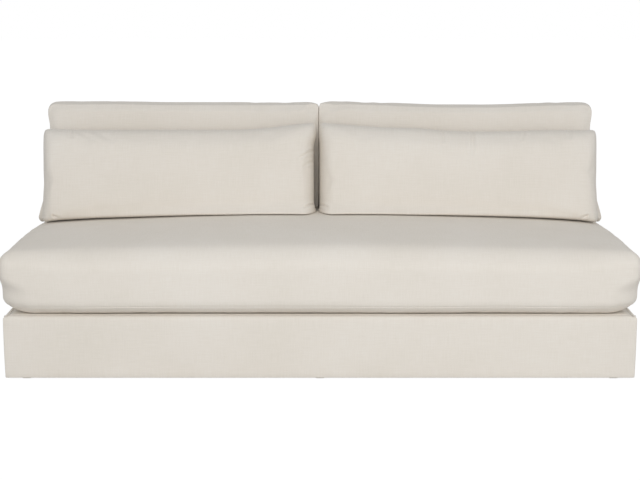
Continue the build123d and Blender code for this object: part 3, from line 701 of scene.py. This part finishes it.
lumbar = {
    "step": 0.012,
    "seamWidth": 0.004,
    "cornerRadius": 0.024,
    "fullness": 0.90,
    "innerEnd": -0.008,  # the two cushions meet a little to the left of the middle
    "span": 1.050,
    "sideSquare": 26,  # a high power keeps the stuffing full right up to the edge
    "topSquare": 4,
    "footReach": 0.042,  # how far the front's foot stands forward on the seat
    # the sides' lines, by share of the height; the inner sides draw in between the corners
    "outerEdge": ((0.0, 1.0560), (0.1, 1.0530), (0.4, 1.0470), (0.55, 1.0490), (0.9, 1.0505)),
    "leftInner": ((0.0, -0.0085), (0.06, -0.0100), (0.16, -0.0225), (0.84, -0.0235),
                  (0.94, -0.0100), (1.0, -0.0085)),
    "rightInner": ((0.0, 0.0079), (0.06, 0.0065), (0.16, 0.0010), (0.84, 0.0015),
                   (0.94, 0.0065), (1.0, 0.0079)),
    "leftCrest": ((-1.05, 0.002), (-0.98, 0.003), (-0.90, 0.0), (-0.30, 0.0), (-0.22, 0.006),
                  (-0.15, 0.013), (-0.07, 0.024), (0.0, 0.027)),
    "rightCrest": ((0.0, 0.027), (0.05, 0.025), (0.10, 0.020), (0.15, 0.016), (0.24, 0.009),
                   (0.38, 0.006), (0.46, -0.002), (0.57, -0.007), (0.70, -0.006),
                   (0.85, -0.001), (1.05, -0.001)),
    # each crease: where it starts and ends, as x and height, and its width and depth
    "leftCreases": (
        ((-0.026, 0.256), (-0.075, 0.222), 0.0042, 0.0090),
        ((-0.026, 0.216), (-0.060, 0.192), 0.0042, 0.0070),
        ((-0.026, 0.053), (-0.058, 0.036), 0.0042, 0.0120),
        ((-0.999, 0.006), (-0.974, -0.004), 0.0042, 0.0080),
        ((-0.940, 0.335), (-0.930, 0.306), 0.0059, 0.0100),
        ((-0.925, 0.335), (-0.870, 0.300), 0.0076, 0.0060),
        ((-0.860, 0.335), (-0.780, 0.288), 0.0093, 0.0060),
    ),
    "rightCreases": (
        ((0.002, 0.052), (0.030, 0.036), 0.0042, 0.0120),
        ((0.999, 0.006), (0.974, -0.004), 0.0042, 0.0080),
        ((0.462, 0.335), (0.462, 0.286), 0.0059, 0.0080),
        ((0.578, 0.335), (0.570, 0.240), 0.0068, 0.0080),
        ((0.775, 0.335), (0.760, 0.296), 0.0059, 0.0070),
        ((0.944, 0.335), (0.940, 0.300), 0.0059, 0.0070),
    ),
    "puff": {"pressure": 3.0, "frames": 14, "stiffness": 12, "bending": 0.35,
             "panelShrink": -0.012, "seamShrink": 0.020, "cap": 0.012, "calm": 3},
}


def makeLumbar(side, word):
    name = f"{word}_lumbar_cushion"
    cover = f"{name}_cover"
    upLow, upHigh = nodeRange(cover, upAxis)
    rear, front = nodeRange(cover, forwardAxis)
    inner, outer = lumbar["innerEnd"], side * lumbar["span"]
    xLow, xHigh = min(inner, outer), max(inner, outer)
    halves, middle = halvesAndMiddle((xLow, xHigh), (upLow, upHigh), (rear, front))
    halfX, halfUp, halfF = halves
    seamHalf = lumbar["seamWidth"] / 2
    lattice = [stations(-half, half, lumbar["step"]) for half in halves[:2]]
    points, faces, flats = boxLattice(*lattice, [-seamHalf, seamHalf])
    seams, shaped = [], []
    for i, (x, up, forward) in enumerate(points):
        if abs(x) > halfX - 1e-6 or abs(up) > halfUp - 1e-6:
            seams.append(i)
        u, v = roundedPlace(x, up, lumbar["cornerRadius"], halfX, halfUp)
        acrossShare, upShare = abs(x / halfX), abs(up / halfUp)
        if up < 0:
            upShare = upShare ** 5  # it sits down on its full lower edge
        swell = (1 - acrossShare ** lumbar["sideSquare"]) * (1 - upShare ** lumbar["topSquare"])
        swell = max(0.0, swell) ** 0.45
        w = forward + math.copysign(swell * (halfF * lumbar["fullness"] - seamHalf), forward)
        shaped.append(middle + Vector((u, v, w)))
    piece = makePiece(name, shaped, faces, flats)
    puff(piece, seams, lumbar["puff"])
    fitRange(piece, 0, xLow, xHigh)
    fitRange(piece, 1, upLow, upHigh)
    fitRange(piece, 2, rear + 0.0004, front)
    drawEdge(piece, 0, 1, 1, (xLow + 0.04, xHigh - 0.04),
             lambda x: upHigh + along(lumbar[word + "Crest"], x), halfUp)
    drawEdge(piece, 0, 1, -1, (xLow + 0.02, xHigh - 0.02), lambda x: -upLow, 0.1)
    for line, sign in (("outerEdge", side), (word + "Inner", -side)):
        drawEdge(piece, 1, 0, sign, (upLow + 0.03, upHigh - 0.03),
                 lambda up: along(lumbar[line], (up - upLow) / (upHigh - upLow)), 0.25)
    for (x, up, forward), vertex in zip(points, piece.data.vertices):
        place = leaning(*vertex.co)
        if forward > 0 and abs(up) < halfUp - 1e-6:
            low = 1 - min(max((place.z - seatHeight(place)) / 0.05, 0.0), 1.0)
            place.y -= lumbar["footReach"] * low * low * smooth((halfX - abs(x)) / 0.05)
        settle(place, upLow)
        vertex.co = place
        liftOffSeat(vertex.co)
    flattenZip(piece, f"{name}_zip_tape", -forwardAxis)
    subdivide(piece, levels=2)
    for vertex in piece.data.vertices:
        forward = vertex.co.dot(forwardAxis)
        if forward > middle.z:
            depth = creaseDepth(lumbar[word + "Creases"], vertex.co.x, vertex.co.dot(upAxis) - upLow)
            vertex.co -= forwardAxis * depth
    finishPiece(piece, name, cover, f"{name}_fill")


for side, word in ((-1, "left"), (1, "right")):
    makeBack(side, word)
    makeLumbar(side, word)
    print(word, "cushions made")


# ---- upholstered base and back: cloth pulled over padding and stapled underneath

base = {
    "step": 0.014,
    "edgeRound": 0.013,
    "hemRound": 0.003,
    "lip": 0.0165,
    "clothThickness": 0.0014,
    "streak": 0.0005,  # the pulled cloth's ripple, in vertical streaks
    "streakWidth": 0.035,
    "bow": 0.0012,
    "corner": 0.0045,  # of the border at its front corners
    "hemTuck": 0.0172,  # the outside back's hem turns in behind the border
    "backColumns": 150,
    "backRound": 0.0105,
    "backBow": 0.0018,
    "backStreak": 0.0006,
    "proud": 0.0001,  # of the padding, so that the cloth stays clear of it
    "insidePuff": 0.0015,
    "deckSag": 0.0006,
    "deckSeam": 0.09,  # the deck's seam, back from its front edge
}


def strip(name, rows, thickness):
    # a sheet of cloth from rows of points, thickened on its inner side
    columns = len(rows[0])
    points = [p for row in rows for p in row]
    faces, flats = [], []
    down = [0.0]
    for r in range(1, len(rows)):
        down.append(down[-1] + max((rows[r][columns // 2] - rows[r - 1][columns // 2]).length, 1e-5))
    widest = max(rows, key=lambda row: sum((b - a).length for a, b in zip(row, row[1:])))
    across = [0.0]
    for a, b in zip(widest, widest[1:]):
        across.append(across[-1] + (b - a).length)
    for r in range(len(rows) - 1):
        for c in range(columns - 1):
            ring = [(r, c), (r, c + 1), (r + 1, c + 1), (r + 1, c)]
            faces.append([i * columns + j for i, j in ring])
            flats.append([(across[j], down[i]) for i, j in ring])
    piece = makePiece(name, points, faces, flats)
    solid = piece.modifiers.new("thickness", "SOLIDIFY")
    solid.thickness = thickness
    solid.offset = -1
    applyModifiers(piece)
    return piece


def makeBorder():
    low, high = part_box("front_border")
    sideLow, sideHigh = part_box("left_border")
    end, rear, front, hem, top = -sideLow.x, sideHigh.y, low.y, low.z, high.z
    r, hemRound = base["edgeRound"], base["hemRound"]
    # the section runs from the lip under the rail, up the face and over the top edge
    section = [(base["lip"], hem), (0.5 * (base["lip"] + hemRound), hem)]  # inset, level
    section += [(hemRound - math.sin(t) * hemRound, hem + hemRound * (1 - math.cos(t)))
                for t in (0, math.pi / 4, math.pi / 2)]
    levels = stations(hem + hemRound, top - r, base["step"])
    section += [(0.0, level) for level in levels[1:-1]]
    section += [(r - r * math.cos(t), top - r + r * math.sin(t))
                for t in [math.pi / 2 * i / 5 for i in range(6)]]
    section += [(base["lip"], top)]
    corner = base["corner"]
    ys = stations(front + corner, rear, base["step"])
    xs = stations(corner - end, end - corner, base["step"])
    turn = [math.pi / 2 * i / 4 for i in range(1, 4)]
    path = [((x, front), (0, -1)) for x in xs]  # place, and which way the face looks
    for side in (-1, 1):
        bend = [((side * (end - corner + corner * math.sin(t)), front + corner - corner * math.cos(t)),
                 (side * math.sin(t), -math.cos(t))) for t in turn]
        bend += [((side * end, y), (side, 0)) for y in ys]
        path = bend[::-1] + path if side < 0 else path + bend
    rows = []
    for inset, level in section:
        row = []
        share = (level - hem) / (top - hem)
        for (x, y), (outX, outY) in path:
            run = (x - y) / base["streakWidth"]
            ripple = noise.noise(Vector((run, level * 1.5, 2.0))) * base["streak"]
            ripple *= smooth(4 * share * (1 - share))
            out = ripple + base["bow"] * 4 * share * (1 - share) - inset
            row.append(Vector((x + outX * out, y + outY * out, level)))
        rows.append(row)
    piece = strip("base_border", rows, base["clothThickness"])
    finishPiece(piece, "frame", "left_border", "front_border", "right_border")


def makeOutsideBack():
    low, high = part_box("outside_back_panel")
    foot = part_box("left_border")[1].z
    headRear = max(v.co.y for v in nodes["outside_back_panel"].data.vertices if v.co.z > high.z - 0.001)
    end, r = high.x, base["backRound"]
    levels = stations(low.z + 0.003, high.z, base["step"], extra=(foot,))
    profile = [(high.y - base["lip"], low.z), (high.y - 0.5 * base["lip"], low.z),
               (high.y - 0.001, low.z + 0.0004)]  # y, level
    for level in levels:
        slope = max(0.0, (level - foot) / (high.z - foot))
        profile.append((high.y + (headRear - high.y) * slope, level))
    rows = []
    for y, level in profile:
        reach = end
        if level > high.z - r:
            reach = end - r + math.sqrt(max(r * r - (level - high.z + r) ** 2, 0.0))
        if y < high.y - 0.0008 and level < low.z + 0.002:
            reach = end - base["hemTuck"]
        share = (level - low.z) / (high.z - low.z)
        row = []
        for i in range(base["backColumns"] + 1):
            x = 2 * i / base["backColumns"] - 1
            x = reach * math.copysign(abs(x) ** 0.92, x)  # closer towards the ends
            edge = min(end - abs(x), high.z - level, 0.05) / 0.05
            ripple = noise.noise(Vector((x / 0.05, level * 2, 7.0))) * base["backStreak"]
            swell = (base["backBow"] + ripple) * smooth(edge) * smooth(share * 12)
            row.append(Vector((-x, y - base["proud"] + swell, level)))
        rows.append(row)
    piece = strip("outside_back", rows, base["clothThickness"] - 2 * base["proud"])
    finishPiece(piece, "frame", "outside_back_panel")


def makeInsideBack():
    cover = nodes["back_cover"].data.vertices
    low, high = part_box("back_cover")
    foot = [v.co.y for v in cover if v.co.z < low.z + 0.002]
    head = [v.co.y for v in cover if high.z - 0.014 < v.co.z]
    r = base["edgeRound"] - 0.002
    close = [r * share for share in (0.25, 0.6, 1.0)]  # finer lines for the rounded edges
    xs = stations(-high.x, high.x, 0.018)
    xs = sorted(xs + [high.x - reach for reach in close] + [reach - high.x for reach in close])
    zs = sorted(stations(low.z, high.z, 0.014) + [high.z - reach for reach in close])
    depths = [0.0, 0.04, 0.09, 0.15] + [i / 10 for i in range(2, 11)]
    points, faces, flats = boxLattice(xs, depths, zs)
    shaped = []
    for x, share, z in points:
        level = (z - low.z) / (high.z - low.z)
        front = min(foot) + (min(head) - min(foot)) * level
        rear = max(foot) + (max(head) - max(foot)) * level
        y = front + (rear - front) * share
        offset = [abs(x) - (high.x - r), front + r - y, z - (high.z - r)]
        outs = [max(0.0, value) / r for value in offset]
        length = math.sqrt(sum(value * value for value in outs))
        if length > 1:
            shrink = [value - value / length for value in outs]
            x -= math.copysign(shrink[0] * r, x)
            y += shrink[1] * r
            z -= shrink[2] * r
        if share < 0.01:
            y -= base["insidePuff"] * smooth(min(high.x - abs(x), high.z - z) / 0.06)
        shaped.append(Vector((x, y, z)))
    piece = makePiece("inside_back", shaped, faces, flats)
    finishPiece(piece, "frame", "back_cover")


def makeDeck():
    low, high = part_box("deck_cover")
    xs = stations(low.x, high.x, 0.02)
    seam = low.y + base["deckSeam"]
    ys = stations(low.y, high.y, 0.02, extra=(seam,))
    points, faces, flats = boxLattice(xs, ys, [low.z, high.z])
    shaped = []
    for x, y, z in points:
        edge = smooth(min(x - low.x, high.x - x, y - low.y, high.y - y) / 0.05)
        sag = base["deckSag"] * edge * (1 + noise.noise(Vector((x * 6, y * 6, 3.0))))
        if abs(y - seam) < 0.001:
            sag += base["deckSag"] / 2
        shaped.append(Vector((x, y, z - (sag if z > low.z + 0.0005 else 0.0))))
    piece = makePiece("deck_cloth", shaped, faces, flats)
    finishPiece(piece, "frame", "deck_cover")


makeBorder()
makeOutsideBack()
makeInsideBack()
makeDeck()
print("base and back made")


# ---- small things that repeat: zip teeth, stitches and staples

repeats = {
    "stand": 0.4,  # a block's middle off the cloth, by its thickness
    "toothPitch": 0.0026, "tooth": (0.0014, 0.0012, 0.0050),  # along, outwards, across
    "stitchPitch": 0.0040, "stitch": (0.0028, 0.0005, 0.0006),
    "stitchInset": 0.0025,
    "staplePitch": 0.040, "staple": (0.0100, 0.0006, 0.0006), "stapleInset": 0.010,
}
# sewing thread: pale, with the faint shine of twisted polyester
threadMaterial = texturedMaterial("polyesterThread", "#EDE8DE", "#E2DCD0", 0.6, 0.00003, grain=0.001)


def makeRowTree():
    # a Geometry Nodes tree: one small block on every point of a line
    tree = bpy.data.node_groups.new("blocksInARow", "GeometryNodeTree")
    for label, kind in (("Count", "Int"), ("Start", "Vector"), ("Step", "Vector"), ("Size", "Vector"),
                        ("Turn", "Rotation"), ("Material", "Material")):
        tree.interface.new_socket(label, in_out="INPUT", socket_type="NodeSocket" + kind)
    tree.interface.new_socket("Geometry", in_out="OUTPUT", socket_type="NodeSocketGeometry")
    given, result = addNode(tree, "NodeGroupInput"), tree.nodes.new("NodeGroupOutput")
    line = addNode(tree, "GeometryNodeMeshLine", {
        "Count": given["Count"], "Start Location": given["Start"], "Offset": given["Step"]})
    block = addNode(tree, "GeometryNodeMeshCube", {"Size": given["Size"]})
    placed = addNode(tree, "GeometryNodeInstanceOnPoints", {
        "Points": line[0], "Instance": block[0], "Rotation": given["Turn"]})
    realized = addNode(tree, "GeometryNodeRealizeInstances", {0: placed[0]})
    shown = addNode(tree, "GeometryNodeSetMaterial", {
        "Geometry": realized[0], "Material": given["Material"]})
    tree.links.new(shown[0], result.inputs[0])
    return tree


rowTree = makeRowTree()


def makeRows(name, body, material, rows):
    # one plain mesh from rows of blocks, each row given as count, start, step, size and turn
    gathered = bmesh.new()
    for row in rows:
        holder = bpy.data.objects.new(name + "_row", bpy.data.meshes.new(name + "_row"))
        scene.collection.objects.link(holder)
        modifier = holder.modifiers.new("rows", "NODES")
        modifier.node_group = rowTree
        values = dict(zip(("Count", "Start", "Step", "Size", "Turn"), row), Material=material)
        for item in rowTree.interface.items_tree:
            if item.in_out == "INPUT":
                modifier[item.identifier] = values[item.name]
        evaluated = holder.evaluated_get(bpy.context.evaluated_depsgraph_get())
        mesh = bpy.data.meshes.new_from_object(evaluated)
        gathered.from_mesh(mesh)
        bpy.data.meshes.remove(mesh)
        bpy.data.objects.remove(holder)
    mesh = bpy.data.meshes.new(name)
    gathered.to_mesh(mesh)
    gathered.free()
    mesh.materials.clear()
    mesh.materials.append(material)
    piece = bpy.data.objects.new(name, mesh)
    scene.collection.objects.link(piece)
    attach(piece, body)


def makeZipRows(name, body, outward, across, turn):
    # the teeth along the middle of a zip's tape, and the stitches along its two edges
    tape = name + "_zip_tape"
    ends, outs, acrossEnds = (nodeRange(tape, axis) for axis in (rightAxis, outward, across))

    def row(pitch, size, place):
        count = int((ends[1] - ends[0] - pitch) / pitch)
        start = rightAxis * (ends[0] + pitch) + outward * (outs[1] + size[1] * repeats["stand"])
        start += across * place
        if abs(outward.dot(upAxis)) > 0.9:
            size = (size[0], size[2], size[1])  # outwards is downwards here
        return count, start, rightAxis * pitch, size, (turn, 0.0, 0.0)

    inset = repeats["stitchInset"]
    makeRows(name + "_zip_teeth", body, finishes["zip_metal"],
             [row(repeats["toothPitch"], repeats["tooth"], sum(acrossEnds) / 2)])
    makeRows(name + "_zip_stitches", body, threadMaterial,
             [row(repeats["stitchPitch"], repeats["stitch"], place)
              for place in (acrossEnds[0] + inset, acrossEnds[1] - inset)])


def makeStaples():
    low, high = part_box("dust_cover")
    pitch, size, inset = repeats["staplePitch"], repeats["staple"], repeats["stapleInset"]
    level = low.z - size[2] * repeats["stand"]
    rows = []
    for y in (low.y + inset, high.y - inset):
        count = int((high.x - low.x) / pitch)
        rows.append((count, (low.x + pitch / 2, y, level), (pitch, 0.0, 0.0), size, (0.0, 0.0, 0.0)))
    for x in (low.x + inset, high.x - inset):
        count = int((high.y - low.y) / pitch) - 1
        turned = (size[1], size[0], size[2])
        rows.append((count, (x, low.y + pitch, level), (0.0, pitch, 0.0), turned, (0.0, 0.0, 0.0)))
    makeRows("dust_cover_staples", "frame", finishes["zinc_steel"], rows)


leanTurn = -math.asin(upAxis.y)
makeZipRows("seat", "seat_cushion", Vector((0, 1, 0)), Vector((0, 0, 1)), 0.0)
for word in ("left", "right"):
    makeZipRows(word + "_back_cushion", word + "_back_cushion", -upAxis, forwardAxis, leanTurn)
    makeZipRows(word + "_lumbar_cushion", word + "_lumbar_cushion", -forwardAxis, upAxis, leanTurn)
makeStaples()
print("zip teeth, stitches and staples made")


# ---- camera, floor and light

cameraSettings = {"place": (0.0, -5.114, 1.4157), "pitch": 11.35, "lens": 78.7, "sensorWidth": 36.0}
cameraData = bpy.data.cameras.new("camera")
cameraData.lens = cameraSettings["lens"]
cameraData.sensor_width = cameraSettings["sensorWidth"]
camera = bpy.data.objects.new("camera", cameraData)
camera.location = cameraSettings["place"]
camera.rotation_euler = (math.radians(90 - cameraSettings["pitch"]), 0, 0)
scene.collection.objects.link(camera)
scene.camera = camera

studio = {
    "floorColour": "#D6D6D6",
    "keyEnergy": 70, "keyPlace": (-0.9, -4.6, 2.1), "keySize": 3.2,
    "fillEnergy": 37, "fillPlace": (2.6, -3.8, 1.5), "fillSize": 3.0,
    "lampAim": (0, 0, 0.45),
    "ambient": 0.54,
    "ambientColour": "#FBFDFF",
    "floorWhite": 0.86,  # the rest of the floor that the camera sees keeps the shadow
    "floorGlow": 1.12,
}


def seenShare(tree):
    # 1 for what the camera, gloss and glass see, and 0 for the light on the object
    rays = addNode(tree, "ShaderNodeLightPath")
    seen = rays["Is Camera Ray"]
    for kind in ("Is Glossy Ray", "Is Transmission Ray"):
        seen = addNode(tree, "ShaderNodeMath", {0: seen, 1: rays[kind]}, operation="MAXIMUM")[0]
    return seen


def makeStudio():
    bpy.ops.mesh.primitive_plane_add(size=40, location=(0, 0, 0))
    floor = bpy.context.object
    floor.name = "floor"
    material, tree, shader = newMaterial("paintedFloor", studio["floorColour"], 0.9)
    white = addNode(tree, "ShaderNodeEmission", {
        "Color": (1, 1, 1, 1), "Strength": studio["floorGlow"]})[0]
    share = addNode(tree, "ShaderNodeMath", {0: seenShare(tree), 1: studio["floorWhite"]},
                    operation="MULTIPLY")[0]
    shown = addNode(tree, "ShaderNodeMixShader", {0: share, 1: shader.outputs[0], 2: white})[0]
    tree.links.new(shown, tree.nodes["Material Output"].inputs["Surface"])
    floor.data.materials.append(material)
    world = bpy.data.worlds.new("studio")
    world.use_nodes = True
    scene.world = world
    tree = world.node_tree
    background = tree.nodes["Background"]
    seen = seenShare(tree)
    strength = addNode(tree, "ShaderNodeMath", {0: seen, 1: 1 - studio["ambient"], 2: studio["ambient"]},
                       operation="MULTIPLY_ADD")[0]
    tree.links.new(strength, background.inputs["Strength"])
    colour = addNode(tree, "ShaderNodeMix", {
        0: seen, 6: linear(studio["ambientColour"]), 7: (1, 1, 1, 1)}, data_type="RGBA")[2]
    tree.links.new(colour, background.inputs["Color"])
    for name in ("key", "fill"):
        lamp = bpy.data.lights.new(name, "AREA")
        lamp.energy = studio[name + "Energy"]
        lamp.size = studio[name + "Size"]
        holder = bpy.data.objects.new(name, lamp)
        holder.location = studio[name + "Place"]
        aim = Vector(studio["lampAim"]) - Vector(studio[name + "Place"])
        holder.rotation_euler = aim.to_track_quat("-Z", "Y").to_euler()
        scene.collection.objects.link(holder)


makeStudio()
scene.view_settings.view_transform = "Standard"
print("studio made")
